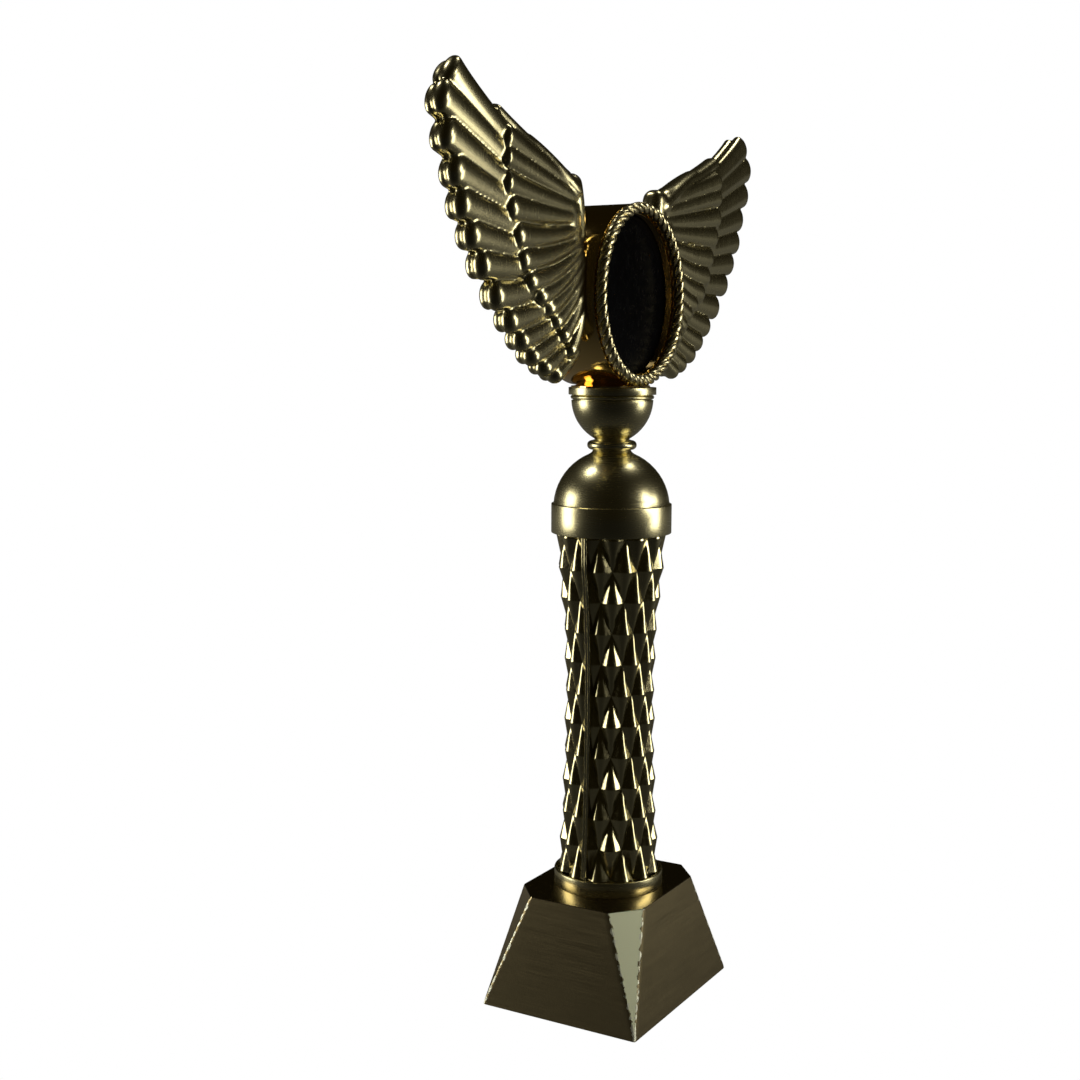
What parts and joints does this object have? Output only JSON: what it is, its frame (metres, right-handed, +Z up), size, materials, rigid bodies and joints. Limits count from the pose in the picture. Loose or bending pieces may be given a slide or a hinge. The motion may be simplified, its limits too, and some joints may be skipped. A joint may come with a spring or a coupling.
{
  "type": "column trophy",
  "caption": "Trophy: a weighted cut-corner base, a round column with diamond relief, a domed cap, a riser cup and a winged round holder with a rope rim and a blank centre disc.",
  "frame": {"origin": "bottom centre of the base, on the surface the felt stands on", "axes": "+Z up the column, -Y out of the disc's face (the front), +X towards the right wing as seen from the front"},
  "size_m": [0.2048, 0.0562, 0.292],
  "materials": {
    "brushed_bronze": "bronze anodised, brushed level, edges worn bright",
    "ballast": "as cast",
    "plate_plastic": "moulded, matt",
    "felt": "felt",
    "steel": "zinc plated",
    "satin_gold": "antique gold, satin",
    "column_gold": "antique gold, bright",
    "plug_plastic": "moulded, matt",
    "polished_gold": "gold, polished",
    "plain_brass": "turned",
    "wing_gold": "antique gold, satin with a brushed grain",
    "disc_black": "plain black",
    "pad_foam": "adhesive foam"
  },
  "bodies": {
    "root": {"base_shell": "brushed_bronze", "base_weight": "ballast", "base_plate": "plate_plastic", "felt_pad": "felt", "tie_rod": "steel", "bottom_washer": "steel", "bottom_nut": "steel", "column_washer": "steel", "column_nut": "steel", "wing_screws": "steel", "foot_ring": "satin_gold", "dome_cap": "satin_gold", "riser_cup": "satin_gold", "column_front_half": "column_gold", "column_rear_half": "column_gold", "bottom_plug": "plug_plastic", "top_plug": "plug_plastic", "figure_drum": "polished_gold", "back_cover": "polished_gold", "rope_ring": "polished_gold", "threaded_insert": "plain_brass", "left_wing": "wing_gold", "right_wing": "wing_gold", "insert_disc": "disc_black", "disc_pad": "pad_foam"}
  },
  "joints": []
}
